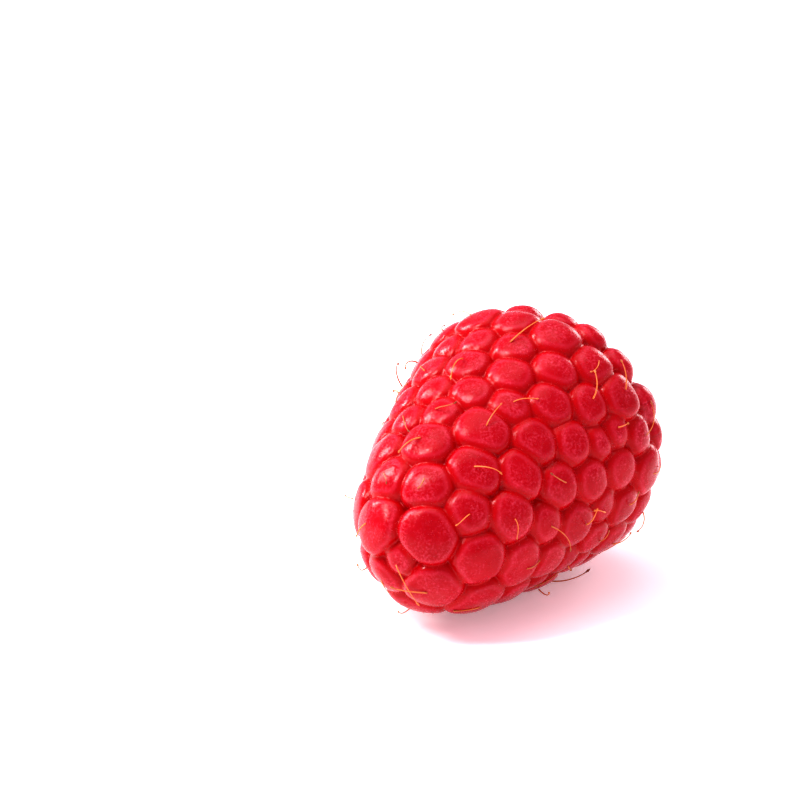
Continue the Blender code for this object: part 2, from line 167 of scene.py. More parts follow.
@dataclass
class Drupelets:
    """Every drupelet's place, frame and size, with the rim's lobes last.

    Pitch is the distance between neighbours' centres, and sizes are shares of a middling drupelet's.
    A lobe's three semi-axes run along the outline, round the rim and outward. Row pitch, last row,
    row spread and nearest tip are shares of the pitch.
    """

    bed: Bed = field(default_factory=Bed)
    pitch: float = 2.88 * MM
    row_pitch: float = 0.9
    last_row: float = 0.45
    row_spread: float = 0.10
    nearest_tip: float = 0.05
    rim_count: int = 18
    tip_swell: float = 1.20
    swell_power: float = 1.5
    apex_size: float = 0.8
    size_spread: float = 0.11
    size_limits: Span = (0.78, 1.25)
    radius_share: float = 0.76
    stretch: Span = (0.94, 1.07)
    crown_radius: float = 2.0 * MM
    crown_growth: float = 0.45
    lobe: tuple[float, float, float] = (2.65 * MM, 1.95 * MM, 2.6 * MM)
    lobe_sizes: Span = (0.95, 1.05)
    lobe_spread: float = 0.13
    roundness: float = 2.45
    wall_overlap: float = 1.06
    lobe_overlap: float = 1.15
    wall_limits: Span = (0.35, 0.65)
    neighbourhood: float = 2.2
    softness: float = 9.0
    crowding: float = 1.08
    relax_steps: int = 300
    relax_rate: float = 0.22
    most_turn: float = 0.3
    seed: int = 11

    def __post_init__(self) -> None:
        """Lays the drupelets out and works out where they press on each other."""
        random = np.random.default_rng(self.seed)
        arcs, xs, radii, unrolled = self.bed.outline()
        shoulder = float(np.interp(self.bed.shoulder_x, xs, arcs))
        jitter = random.uniform(-self.lobe_spread, self.lobe_spread, self.rim_count)
        rim_angle = 2 * math.pi * (np.arange(self.rim_count) + jitter) / self.rim_count
        rim_arc = np.full(self.rim_count, arcs[-1])
        rim, _ = self.bed.place(rim_arc, rim_angle)
        arc, angle, size = self.relaxed(self.planted(shoulder, random), shoulder, rim)
        self.arc = np.concatenate([arc, rim_arc])
        self.angle = np.concatenate([angle, rim_angle])
        self.centre, self.frame = self.bed.place(self.arc, self.angle)
        radius = self.radius_share * self.pitch * size
        stretch = random.uniform(*self.stretch, len(size))
        height = self.crown_radius * (1.0 - self.crown_growth + self.crown_growth * size)
        lobes = np.array(self.lobe) * random.uniform(*self.lobe_sizes, (self.rim_count, 1))
        self.axes = np.concatenate([np.stack([radius * stretch, radius / stretch, height], 1), lobes])
        gap = 2 * math.pi * radii[-1] / self.rim_count
        self.reach = 0.5 * np.concatenate([self.pitch * size, np.full(self.rim_count, gap)])
        spread = np.exp(np.interp(self.arc, arcs, unrolled) - unrolled[-1])
        self.plan = np.stack([spread * np.cos(self.angle), spread * np.sin(self.angle)], 1)
        self.press()

    def __len__(self) -> int:
        """How many drupelets there are, rim lobes included."""
        return len(self.centre)

    def planted(self, shoulder: float, random: np.random.Generator) -> np.ndarray:
        """Staggered rows from the shoulder to the tip.

        Args:
            shoulder: Arc length of the last row.
            random: Source of the small offsets.

        Returns:
            Arc length, angle and size of each drupelet, one a row.
        """
        arcs, _, radii, _ = self.bed.outline()
        rows, arc, turn = [], shoulder, 0.0
        while arc > self.last_row * self.pitch:
            size = 1.0 + (self.tip_swell - 1.0) * (1.0 - arc / shoulder) ** self.swell_power
            count = max(1, round(2 * math.pi * np.interp(arc, arcs, radii) / (self.pitch * size)))
            turn += math.pi / count
            angle = turn + 2 * math.pi * np.arange(count) / count
            rows.append(np.stack([np.full(count, arc), angle, np.full(count, size)], 1))
            arc -= self.row_pitch * self.pitch * size
        rows.append(np.array([[0.0, 0.0, self.apex_size]]))
        planted = np.concatenate(rows)
        planted[:, 0] += random.normal(0.0, self.row_spread, len(planted)) * self.pitch
        planted[:, 2] *= np.clip(random.normal(1.0, self.size_spread, len(planted)), *self.size_limits)
        return planted

    def relaxed(
        self, planted: np.ndarray, shoulder: float, rim: np.ndarray
    ) -> tuple[np.ndarray, np.ndarray, np.ndarray]:
        """Drupelets pushed along the bed until they sit as far apart as their sizes ask.

        Args:
            planted: Arc length, angle and size of each.
            shoulder: The arc length that none passes.
            rim: Centres of the rim's lobes, which stay.

        Returns:
            Arc lengths, angles and sizes.
        """
        arcs, _, radii, _ = self.bed.outline()
        arc, angle, size = planted.T.copy()
        own = np.arange(len(arc))
        for _ in range(self.relax_steps):
            centre, axes = self.bed.place(arc, angle)
            everyone = np.concatenate([centre, rim])
            sizes = np.concatenate([size, np.ones(len(rim))])
            apart = centre[:, None] - everyone[None]
            distance = np.linalg.norm(apart, axis=2) + TINY
            wanted = 0.5 * self.crowding * (size[:, None] + sizes[None]) * self.pitch
            push = np.clip(wanted - distance, 0.0, None) / distance
            push[own, own] = 0.0
            move = self.relax_rate * (apart * push[:, :, None]).sum(1)
            arc = np.clip(arc + (move * axes[:, 0]).sum(1), self.nearest_tip * self.pitch, shoulder)
            radius = np.interp(arc, arcs, radii)
            angle = angle + np.clip((move * axes[:, 1]).sum(1) / radius, -self.most_turn, self.most_turn)
        return arc, angle, size

    def press(self) -> None:
        """Works out the plane between each two neighbours, as a direction and a distance."""
        apart = self.centre[None] - self.centre[:, None]
        distance = np.linalg.norm(apart, axis=2)
        np.fill_diagonal(distance, 1.0)
        share = 0.5 + 0.5 * (self.reach[:, None] ** 2 - self.reach[None] ** 2) / distance**2
        overlap = np.full(distance.shape, self.wall_overlap)
        overlap[-self.rim_count :, -self.rim_count :] = self.lobe_overlap
        share = np.clip(share, *self.wall_limits) * distance * overlap
        near = distance < self.neighbourhood * self.axes.max(1)[:, None]
        np.fill_diagonal(near, False)
        self.wall_distance = np.where(near, share, np.inf)
        self.wall_direction = apart / distance[:, :, None]

    def skin(self, which: int, direction: np.ndarray) -> np.ndarray:
        """How far the skin lies from a drupelet's centre along each direction.

        An ellipsoid's distance is blended, by a power mean, with those of the flat sides that the
        neighbours press into it.

        Args:
            which: The drupelet.
            direction: Unit vectors, one a row.

        Returns:
            The distances.
        """
        local = direction @ self.frame[which].T
        free = (np.abs(local / self.axes[which]) ** self.roundness).sum(1) ** (self.softness / self.roundness)
        near = np.isfinite(self.wall_distance[which])
        faced = np.clip(direction @ self.wall_direction[which, near].T, 0.0, None)
        pressed = faced / self.wall_distance[which, near]
        return (free + (pressed**self.softness).sum(1)) ** (-1.0 / self.softness)

    def region(self, cell: int) -> Region:
        """What this cell of the net is."""
        if cell == len(self):
            return Region.HOLLOW
        return Region.LOBE if cell >= len(self) - self.rim_count else Region.DRUPELET


def swung(one: np.ndarray, other: np.ndarray, share: np.ndarray) -> np.ndarray:
    """Unit vectors turned by a share of the angle from one unit vector to the other."""
    angle = np.arccos(np.clip((one * other).sum(-1, keepdims=True), -1.0, 1.0))
    return (np.sin((1 - share) * angle) * one + np.sin(share * angle) * other) / np.sin(angle)


@dataclass
class Net:
    """Corners and seams where the cells meet, as points that the cells on both sides share.

    Each point is found on a ray: the ray starts level with the drupelets' centres, on the plane
    between those that meet there, and the point is where it leaves their skins. The fillet is the
    width that the creases are filled over, and the groove width the one that they are coloured over.
    """

    berry: Drupelets
    mouth_x: float = 21.0 * MM
    mouth_radius: float = 4.5 * MM
    least_share: float = 0.12
    seam_steps: int = 8
    rim_seam_steps: int = 18
    longest_ray: float = 5.0 * MM
    halvings: int = 14
    fillet: float = 0.14 * MM
    groove_width: float = 0.30 * MM
    farthest: float = 3.4 * MM
    fill_steps: int = 9
    least_step: float = 0.0001 * MM
    most_step: float = 0.4 * MM
    least_fall: float = 0.35

    def __post_init__(self) -> None:
        """Finds the corners, then draws the seams between them."""
        self.hollow = len(self.berry)
        self.triangles = self.corner_triangles()
        self.owners = [[cell for cell in t if cell != self.hollow] for t in self.triangles]
        self.rays = self.corner_rays()
        self.corners = self.on_skin(self.rays)
        self.corner_of = {(t[i], t[(i + 1) % 3]): n for n, t in enumerate(self.triangles) for i in range(3)}
        self.between: dict[tuple[int, int], list[int]] = {}
        corner_lift = unit(self.rays[:, 1])
        pieces, lifts, count = [self.rays], [corner_lift], len(self.corners)
        for (one, other), start in self.corner_of.items():
            if one < other:
                rays = self.seam_rays(one, other, [start, self.corner_of[other, one]])
                made = list(range(count, count + len(rays)))
                self.between[one, other], self.between[other, one] = made, made[::-1]
                self.owners += [[cell for cell in (one, other) if cell != self.hollow]] * len(rays)
                pieces.append(rays)
                share = np.arange(1, len(rays) + 1)[:, None] / (len(rays) + 1)
                lifts.append(swung(corner_lift[start], corner_lift[self.corner_of[other, one]], share))
                count += len(rays)
        self.lift = np.concatenate(lifts)
        self.places = self.filled(self.on_skin(np.concatenate(pieces)), self.lift)

    def corner_triangles(self) -> list[list[int]]:
        """Threes of drupelets that meet at a corner, counter-clockwise from outside.

        The bed is unrolled onto a plane without changing angles, and the centres' Delaunay triangles
        there are the corners. Each gap between two rim lobes is one too, with the hollow as third.

        Returns:
            The three cells of each corner.
        """
        berry = self.berry
        points = [Vector(point) for point in berry.plan.tolist()]
        _, _, faces, sources, _, _ = delaunay_2d_cdt(points, [], [], 0, 1e-9)
        triangles = np.array([[sources[vertex][0] for vertex in face] for face in faces])
        a, b, c = (berry.centre[triangles[:, i]] for i in range(3))
        facing = np.einsum("ij,ij->i", np.cross(b - a, c - a), berry.frame[triangles[:, 0], 2])
        triangles[facing < 0] = triangles[facing < 0][:, ::-1]
        found = triangles.tolist()
        pairs = {(t[i], t[(i + 1) % 3]) for t in found for i in range(3)}
        first = self.hollow - berry.rim_count
        for i in range(berry.rim_count):
            one, other = first + i, first + (i + 1) % berry.rim_count
            found.append([other, one, self.hollow] if (one, other) in pairs else [one, other, self.hollow])
        return found

    def corner_rays(self) -> np.ndarray:
        """Each corner's ray: where it starts and its direction.

        It starts between its three centres, where the squared distance to each, less the square of its
        reach, is the same, and runs square to their plane. Over the rim it starts between two lobes
        and points at the hollow's mouth.

        Returns:
            The rays, start and direction.
        """
        berry = self.berry
        inner = np.array([t for t in self.triangles if self.hollow not in t])
        a, b, c = (berry.centre[inner[:, i]] for i in range(3))
        ra, rb, rc = (berry.reach[inner[:, i]] ** 2 for i in range(3))
        u, v = b - a, c - a
        uu, uv, vv = (u * u).sum(1), (u * v).sum(1), (v * v).sum(1)
        p, q = 0.5 * (uu + ra - rb), 0.5 * (vv + ra - rc)
        s, t = (p * vv - q * uv) / (uu * vv - uv**2), (q * uu - p * uv) / (uu * vv - uv**2)
        shares = np.clip(np.stack([1.0 - s - t, s, t], 1), self.least_share, None)
        shares /= shares.sum(1)[:, None]
        starts = shares[:, :1] * a + shares[:, 1:2] * b + shares[:, 2:] * c
        mouths = []
        for one, other, _ in self.triangles[len(inner) :]:
            middle, aside = self.between_lobes(one, other)
            mouths.append([middle, aside * self.mouth_radius + [self.mouth_x, 0.0, 0.0] - middle])
        return np.concatenate([np.stack([starts, unit(np.cross(u, v))], 1), mouths])

    def between_lobes(self, one: int, other: int) -> tuple[np.ndarray, np.ndarray]:
        """The middle of two neighbouring lobes' centres, and the direction there off the berry's axis."""
        middle = 0.5 * (self.berry.centre[one] + self.berry.centre[other])
        return middle, unit(middle * [0.0, 1.0, 1.0])

    def seam_rays(self, one: int, other: int, ends: list[int]) -> np.ndarray:
        """The rays of the points between a seam's two corners.

        Between two drupelets they lie between the corners' rays. At the hollow's mouth they fan out
        from the lobe's centre, and between two lobes they swing over the rim from the lobes' middle.

        Args:
            one: The cell on one side.
            other: The cell on the other side.
            ends: The corners at its ends.

        Returns:
            The rays, start and direction.
        """
        berry = self.berry
        at_mouth, at_rim = other == self.hollow, berry.region(one) is Region.LOBE
        steps = self.rim_seam_steps if at_rim and not at_mouth else self.seam_steps
        share = (np.arange(1, steps) / steps)[:, None]
        if at_mouth:
            place = (1 - share) * self.corners[ends[0]] + share * self.corners[ends[1]]
            start = np.broadcast_to(berry.centre[one], place.shape)
            return np.stack([start, place - start], 1)
        if not at_rim:
            return (1 - share[:, :, None]) * self.rays[ends[0]] + share[:, :, None] * self.rays[ends[1]]
        middle, aside = self.between_lobes(one, other)
        out = self.corners[ends] - middle
        turns = np.arctan2(out @ aside, out[:, 0])
        turn = (1 - share) * turns[0] + share * turns[1]
        up = np.sin(turn) * aside + np.cos(turn) * [1.0, 0.0, 0.0]
        return np.stack([np.broadcast_to(middle, up.shape), up], 1)

    def on_skin(self, rays: np.ndarray) -> np.ndarray:
        """The place on each ray where it leaves the skins that meet there, on average.

        Each halving keeps the half of the stretch where the ray passes out of the skin.

        Args:
            rays: The rays, start and direction.

        Returns:
            The places.
        """
        start, up = rays[:, 0], unit(rays[:, 1])
        pairs = np.array([(point, cell) for point, cells in enumerate(self.owners) for cell in cells])
        low, high = np.zeros(len(pairs)), np.full(len(pairs), self.longest_ray)
        for _ in range(self.halvings):
            middle = 0.5 * (low + high)
            place = start[pairs[:, 0]] + middle[:, None] * up[pairs[:, 0]]
            inside = np.zeros(len(pairs), bool)
            for cell in range(self.hollow):
                own = pairs[:, 1] == cell
                out = place[own] - self.berry.centre[cell]
                inside[own] = np.linalg.norm(out, axis=1) < self.berry.skin(cell, unit(out))
            low, high = np.where(inside, middle, low), np.where(inside, high, middle)
        height = np.bincount(pairs[:, 0], low) / np.bincount(pairs[:, 0])
        return start + height[:, None] * up

    def crowding(self, points: np.ndarray, width: float) -> tuple[np.ndarray, np.ndarray]:
        """How strongly the drupelets press at these points.

        A drupelet's strength is e to the power of the depth under its skin over the width.

        Args:
            points: The places.
            width: The depth over which the strength falls off.

        Returns:
            The strengths' sum, and the greatest.
        """
        total, most = np.zeros(len(points)), np.zeros(len(points))
        for cell in range(self.hollow):
            out = points - self.berry.centre[cell]
            length = np.linalg.norm(out, axis=1)
            near = length < self.farthest
            depth = self.berry.skin(cell, out[near] / length[near, None]) - length[near]
            strength = np.exp(depth / width)
            total[near] += strength
            most[near] = np.maximum(most[near], strength)
        return total, most

    def filled(self, places: np.ndarray, lift: np.ndarray) -> np.ndarray:
        """Points of the skins lifted onto the smooth skin that fills the creases a little.

        The smooth skin lies where the strengths add up to one. The height still missing is about the
        fillet's width times their logarithm. Each step is that height over its fall per length lifted,
        as the last step showed it, so that steep creases fill too.

        Args:
            places: The points.
            lift: The direction that each is lifted in.

        Returns:
            The lifted points.
        """
        missing = self.fillet * np.log(self.crowding(places, self.fillet)[0])
        step = missing
        for _ in range(self.fill_steps):
            places = places + step[:, None] * lift
            left = self.fillet * np.log(self.crowding(places, self.fillet)[0])
            moving = np.abs(step) > self.least_step
            fall = (missing - left)[moving] / step[moving]
            missing, step = left, left.copy()
            step[moving] /= np.clip(fall, self.least_fall, 1.0)
            step = np.clip(step, -self.most_step, self.most_step)
        return places

    def groove(self, places: np.ndarray) -> np.ndarray:
        """How near a crease each point is: 0 on a crown, one half on a seam, two thirds at a corner."""
        total, most = self.crowding(places, self.groove_width)
        return 1.0 - most / total

    def loop(self, cell: int) -> list[int]:
        """The points round one cell, in order.

        Args:
            cell: The cell.

        Returns:
            The points' numbers: each corner, then its seam's points.
        """
        after = {}
        for triangle in self.triangles:
            if cell in triangle:
                i = triangle.index(cell)
                after[triangle[i - 2]] = triangle[i - 1]
        loop, neighbour = [], next(iter(after))
        for _ in after:
            loop.append(self.corner_of[cell, neighbour])
            neighbour = after[neighbour]
            loop.extend(self.between[neighbour, cell])
        return loop


def fan(loop: np.ndarray, rings: np.ndarray, pole: int) -> list[list[int]]:
    """Faces from a loop of vertices inwards, over rings of as many, to a pole.

    Args:
        loop: The outer loop's vertices.
        rings: The vertices of each further ring, one a row.
        pole: The vertex in the middle.

    Returns:
        Quads between the rings and triangles round the pole.
    """
    rows = np.vstack([loop[None], rings])
    nxt = np.roll(rows, -1, axis=1)
    quads = np.stack([rows[:-1], nxt[:-1], nxt[1:], rows[1:]], 2).reshape(-1, 4)
    tips = np.stack([rows[-1], nxt[-1], np.full(len(loop), pole)], 1)
    return quads.tolist() + tips.tolist()


@dataclass(frozen=True)
class Ripple:
    """A slow, uneven swelling: a sum of sine waves through space, in random directions."""

    wavelength: float = 2.6 * MM
    wavelength_shares: Span = (0.6, 1.5)
    waves: int = 7
    seed: int = 5

    def at(self, points: np.ndarray) -> np.ndarray:
        """The swelling at these points.

        Args:
            points: The places, one a row.

        Returns:
            The swelling at each, about -1 to 1.
        """
        random = np.random.default_rng(self.seed)
        direction = unit(random.normal(size=(self.waves, 3)))
        pace = 2 * math.pi / (self.wavelength * random.uniform(*self.wavelength_shares, self.waves))
        phase = random.uniform(0, 2 * math.pi, self.waves)
        return np.sin(points @ (direction * pace[:, None]).T + phase).sum(1) / math.sqrt(self.waves)


@dataclass(frozen=True)
class Rest:
    """How the berry lies: tip down, on drupelets pressed a little flat."""

    tip_down: float = math.radians(13.0)
    flat_depth: float = 0.16 * MM

    def matrix(self, points: np.ndarray, low: Vector, high: Vector) -> np.ndarray:
        """The turn and shift that lay the berry into its box.

        Args:
            points: The skin's points, upright in the berry's own frame.
            low: The box's lowest corner.
            high: The box's highest corner.

        Returns:
            A 4 by 4 matrix.
        """
        turn = Matrix.Rotation(-self.tip_down, 4, "Y")
        turned = points @ np.array(turn.to_3x3()).T
        middle = 0.5 * (turned.min(0) + turned.max(0))
        place = 0.5 * (low + high)
        sink = low.z - self.flat_depth - turned[:, 2].min()
        shift = Matrix.Translation((place.x - middle[0], place.y - middle[1], sink))
        return np.array(shift @ turn)


def moved(matrix: np.ndarray, points: np.ndarray) -> np.ndarray:
    """Points carried by a 4 by 4 matrix."""
    return points @ matrix[:3, :3].T + matrix[:3, 3]


def add_values(mesh: bpy.types.Mesh, name: str, values: np.ndarray) -> None:
    """Stores one number at each vertex under this name."""
    layer = mesh.attributes.new(name, "FLOAT", "POINT")
    layer.data.foreach_set("value", np.asarray(values, np.float32))


def new_piece(
    name: str, points: np.ndarray, faces: list[list[int]], material: bpy.types.Material
) -> bpy.types.Object:
    """A smooth-shaded mesh object at the origin.

    Args:
        name: The piece's name.
        points: Its vertices.
        faces: The vertices of each face.
        material: Its finish.

    Returns:
        The object, in the scene's collection.
    """
    mesh = bpy.data.meshes.new(name)
    mesh.from_pydata(points.tolist(), [], faces)
    mesh.shade_smooth()
    mesh.materials.append(material)
    piece = bpy.data.objects.new(name, mesh)
    bpy.context.scene.collection.objects.link(piece)
    return piece


@dataclass
class BerrySkin:
    """The whole skin, as one closed mesh.

    Swelling is the ripple's height as a share of the distance from a drupelet's centre. A lobe's
    rings lean by an angle into the hollow, which ends at an x on the berry's own axis.
    """

    net: Net
    rest: Rest = field(default_factory=Rest)
    ripple: Ripple = field(default_factory=Ripple)
    swelling: float = 0.014
    drupelet_rings: int = 12
    lobe_rings: int = 17
    lobe_ring_lean: float = math.radians(20.0)
    hollow_rings: int = 40
    hollow_end_x: float = 8.8 * MM
    hollow_taper: float = 2.4
    hollow_bluntness: float = 0.6
    hollow_unevenness: float = 0.02
    mouth_value: float = 0.02
    seed: int = 3

    def directions(self, cell: int, edge: np.ndarray, shares: np.ndarray) -> np.ndarray:
        """Directions from a drupelet's centre, turned from its outward direction towards its seams.

        On a drupelet each takes a share of the whole angle. A rim's lobe is so long that the angle over
        it, from a line that leans into the hollow, and the angle across it shrink apart.

        Args:
            cell: The drupelet.
            edge: Unit vectors towards the points of its seams.
            shares: The share of the angle for each ring.

        Returns:
            The directions: ring, point, coordinate.
        """
        frame, share = self.net.berry.frame[cell], shares[:, None]
        if self.net.berry.region(cell) is Region.DRUPELET:
            return swung(frame[2], edge, share[:, :, None])
        along, around, outward = frame @ edge.T
        over = self.lobe_ring_lean + share * (np.arctan2(along, outward) - self.lobe_ring_lean)
        across = share * np.arcsin(around)
        local = [np.cos(across) * np.sin(over), np.sin(across), np.cos(across) * np.cos(over)]
        return np.stack(local, 2) @ frame

    def swollen(self, cell: int, loop: np.ndarray) -> tuple[np.ndarray, np.ndarray]:
        """A drupelet's rings between its seams and its crown, then the crown.

        The skin lies where the drupelet's rule puts it along each direction, lifted where creases are
        filled, with a slow ripple that fades towards the seams.

        Args:
            cell: The drupelet.
            loop: The points round it.

        Returns:
            The points, and the share of the way to the seam of each.
        """
        berry = self.net.berry
        count = self.lobe_rings if berry.region(cell) is Region.LOBE else self.drupelet_rings
        shares = np.sin(0.5 * math.pi * np.arange(count - 1, -1, -1) / count)
        turned = self.directions(cell, unit(self.net.places[loop] - berry.centre[cell]), shares)
        turned = np.vstack([turned[:-1].reshape(-1, 3), turned[-1, :1]])
        share = np.append(np.repeat(shares[:-1], len(loop)), 0.0)
        reach = berry.skin(cell, turned)[:, None] * turned
        at_seam = np.vstack([np.tile(self.net.lift[loop], (count - 1, 1)), turned[-1:]])
        lift = unit((1.0 - share[:, None]) * turned + share[:, None] * at_seam)
        place = self.net.filled(berry.centre[cell] + reach, lift)
        bumps = self.swelling * (1.0 - share**4) * self.ripple.at(place)
        return place + bumps[:, None] * reach, share

    def hollowed(self, edge: np.ndarray) -> tuple[np.ndarray, np.ndarray]:
        """The hollow's wall: rings from its mouth, whose scallops fade, to its closed end.

        The radius narrows as a power of depth, and each ring keeps less of the mouth's scallops.

        Args:
            edge: The places of the points round the mouth.

        Returns:
            The points, and the depth of each from 0 at the mouth to 1.
        """
        turn = np.arctan2(edge[:, 2], edge[:, 1])
        mouth = np.hypot(edge[:, 1], edge[:, 2])
        deep = np.sin(0.5 * math.pi * np.arange(1, self.hollow_rings) / self.hollow_rings)[:, None]
        x = (1 - deep) * edge[:, 0] + deep * self.hollow_end_x
        kept = (1 - deep) ** 2
        radius = (self.net.mouth_radius + (mouth - self.net.mouth_radius) * kept) * (
            1 - deep**self.hollow_taper
        ) ** self.hollow_bluntness
        rings = np.stack([x, radius * np.cos(turn), radius * np.sin(turn)], 2)
        bumps = self.ripple.at(rings.reshape(-1, 3)).reshape(x.shape)
        rings[:, :, 1:] *= (1.0 + self.hollow_unevenness * np.sin(math.pi * deep) * bumps)[:, :, None]
        end = np.array([[self.hollow_end_x, 0.0, 0.0]])
        return np.vstack([rings.reshape(-1, 3), end]), np.append(np.repeat(deep[:, 0], len(edge)), 1.0)

    def build(self, material: bpy.types.Material) -> bpy.types.Object:
        """Makes the skin and lays it into the part's box.

        Args:
            material: The skin's finish.

        Returns:
            The object, with seam, groove, tone and hollow values on its vertices.
        """
        net, random = self.net, np.random.default_rng(self.seed)
        tones = random.uniform(0.0, 1.0, net.hollow)
        base = len(net.places)
        own = np.array([tones[cells].mean() for cells in net.owners])
        at_mouth = np.array([len(cells) == 1 for cells in net.owners], float)
        points, faces, count = [net.places], [], base
        seam, tone, hollow = [np.ones(base)], [own], [self.mouth_value * at_mouth]
        for cell in range(net.hollow + 1):
            loop = np.array(net.loop(cell))
            inside = net.berry.region(cell) is Region.HOLLOW
            made, value = self.hollowed(net.places[loop]) if inside else self.swollen(cell, loop)
            rings = (count + np.arange(len(made) - 1)).reshape(-1, len(loop))
            faces += fan(loop, rings, count + len(made) - 1)
            points.append(made)
            seam.append(np.zeros(len(made)) if inside else value)
            hollow.append(value if inside else np.zeros(len(made)))
            tone.append(np.full(len(made), 0.5 if inside else tones[cell]))
            count += len(made)
        upright = np.vstack(points)
        groove, outside = np.zeros(len(upright)), np.concatenate(hollow) <= self.mouth_value
        groove[outside] = net.groove(upright[outside])
        self.matrix = self.rest.matrix(upright, *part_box(NODE))
        laid = moved(self.matrix, upright)
        laid[:, 2] = np.maximum(laid[:, 2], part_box(NODE)[0].z)
        piece = new_piece("berry_skin", laid, faces, material)
        add_values(piece.data, "seam", np.concatenate(seam))
        add_values(piece.data, "groove", groove)
        add_values(piece.data, "tone", np.concatenate(tone))
        add_values(piece.data, "hollow", np.concatenate(hollow))
        return piece


def tubes(paths: np.ndarray, radii: np.ndarray, sides: int) -> tuple[np.ndarray, list[list[int]]]:
    """Round tubes along many paths at once, closed at both ends.

    At each point of a path a ring stands across the path's direction, at that point's radius.

    Args:
        paths: The points of each path: tube, point, coordinate.
        radii: The radius at each point: tube, point.
        sides: How many sides each tube has.

    Returns:
        All the vertices, and the faces.
    """
    count, steps, _ = paths.shape
    along = unit(np.gradient(paths, axis=1))
    mean = unit(paths[:, -1] - paths[:, 0])
    level = np.abs(mean[:, 2:]) < 0.8
    aside = unit(np.cross(mean, np.where(level, [[0, 0, 1.0]], [[1.0, 0, 0]])))
    across = unit(np.cross(along, aside[:, None]))
    other = np.cross(along, across)
    turn = 2 * math.pi * np.arange(sides) / sides
    ring = np.cos(turn)[:, None] * across[:, :, None] + np.sin(turn)[:, None] * other[:, :, None]
    points = paths[:, :, None] + radii[:, :, None, None] * ring
    index = np.arange(count * steps * sides).reshape(count, steps, sides)
    nxt = np.roll(index, -1, axis=2)
    quads = np.stack([index[:, :-1], nxt[:, :-1], nxt[:, 1:], index[:, 1:]], 3).reshape(-1, 4)
    caps = [index[:, 0, ::-1].tolist(), index[:, -1].tolist()]
    return points.reshape(-1, 3), quads.tolist() + caps[0] + caps[1]


def inside_box(paths: np.ndarray) -> np.ndarray:
    """Which paths stay over the floor and within the part's box, grown by its spare share.

    Args:
        paths: The points of each path: path, point, coordinate.

    Returns:
        True for each path that stays inside.
    """
    low, high = (np.array(corner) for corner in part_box(NODE))
    grow = BOX_SPARE * (high - low)
    floor = np.array([*(low - grow)[:2], low[2] + FLOOR_GAP])
    return ((paths > floor) & (paths < high + grow)).all((1, 2))


@dataclass
class Styles:
    """The dried threads that stand on the drupelets, one on each that has kept its own.

    Starting lift, sinking, curl and hook are angles. Along a thread, its thickness follows the
    widths: swollen at its root, slimmest before its knobbed end.
    """

    skin: BerrySkin
    kept: float = 0.689
    tries: int = 3
    length: Span = (1.5 * MM, 4.3 * MM)
    length_shares: Span = (0.6, 1.0)
    starting_lift: Span = (0.1, 1.0)
    sinking: float = 0.35
    curl: float = 0.6
    hook: float = 0.6
    hook_power: int = 4
    root_spread: float = 0.25 * MM
    root_depth: float = 0.985
    thickness: float = 0.105 * MM
    thickness_shares: Span = (0.75, 1.2)
    width_places: tuple[float, ...] = (0, 0.1, 0.86, 0.93, 0.985, 1.0)
    widths: tuple[float, ...] = (1.15, 1.0, 0.62, 1.75, 1.5, 0.3)
    age_power: float = 1.5
    steps: int = 16
    sides: int = 6
    seed: int = 21

    def build(self, material: bpy.types.Material) -> bpy.types.Object:
        """Makes all the threads as one piece.

        Each starts at a crown and runs in short steps. Its heading turns steadily, hooks near its end,
        and its lift sinks from the start's to a little below level, as the berry curves away.

        Args:
            material: The threads' finish.

        Returns:
            The object, with along and age values on its vertices.
        """
        random = np.random.default_rng(self.seed)
        berry = self.skin.net.berry
        drupelets = np.arange(len(berry) - berry.rim_count)
        grown = random.permutation(np.repeat(drupelets, self.tries))
        count = len(grown)
        share = np.linspace(0.0, 1.0, self.steps)
        length = random.uniform(*self.length, count) * random.uniform(*self.length_shares, count)
        lift = random.uniform(*self.starting_lift, count)[:, None] * (1.0 - share) - self.sinking * share
        curl = random.normal(0.0, self.curl, count)[:, None] * share
        hook = random.normal(0.0, self.hook, count)[:, None] * share**self.hook_power
        heading = random.uniform(0, 2 * math.pi, count)[:, None] + (curl + hook)
        frame = berry.frame[grown]
        step = np.cos(lift)[:, :, None] * (
            np.cos(heading)[:, :, None] * frame[:, None, 0] + np.sin(heading)[:, :, None] * frame[:, None, 1]
        ) + np.sin(lift)[:, :, None] * frame[:, None, 2]
        offset = random.normal(0.0, self.root_spread, (count, 2, 1))
        root = berry.centre[grown] + self.root_depth * berry.axes[grown, 2:] * frame[:, 2]
        root = root + (offset * frame[:, :2]).sum(1)
        paths = root[:, None] + np.cumsum(step, axis=1) * (length / self.steps)[:, None, None]
        paths = moved(self.skin.matrix, paths)
        chosen = np.flatnonzero(inside_box(paths))
        _, first = np.unique(grown[chosen], return_index=True)
        chosen = chosen[first]
        chosen = chosen[random.uniform(size=len(chosen)) < self.kept]
        width = np.interp(share, self.width_places, self.widths)
        radii = 0.5 * self.thickness * width * random.uniform(*self.thickness_shares, (count, 1))
        points, faces = tubes(paths[chosen], radii[chosen], self.sides)
        piece = new_piece("styles", points, faces, material)
        each = self.sides * self.steps
        add_values(piece.data, "along", np.tile(np.repeat(share, self.sides), len(chosen)))
        add_values(piece.data, "age", np.repeat(random.uniform(0, 1, len(chosen)) ** self.age_power, each))
        LOG.info("%d styles", len(chosen))
        return piece


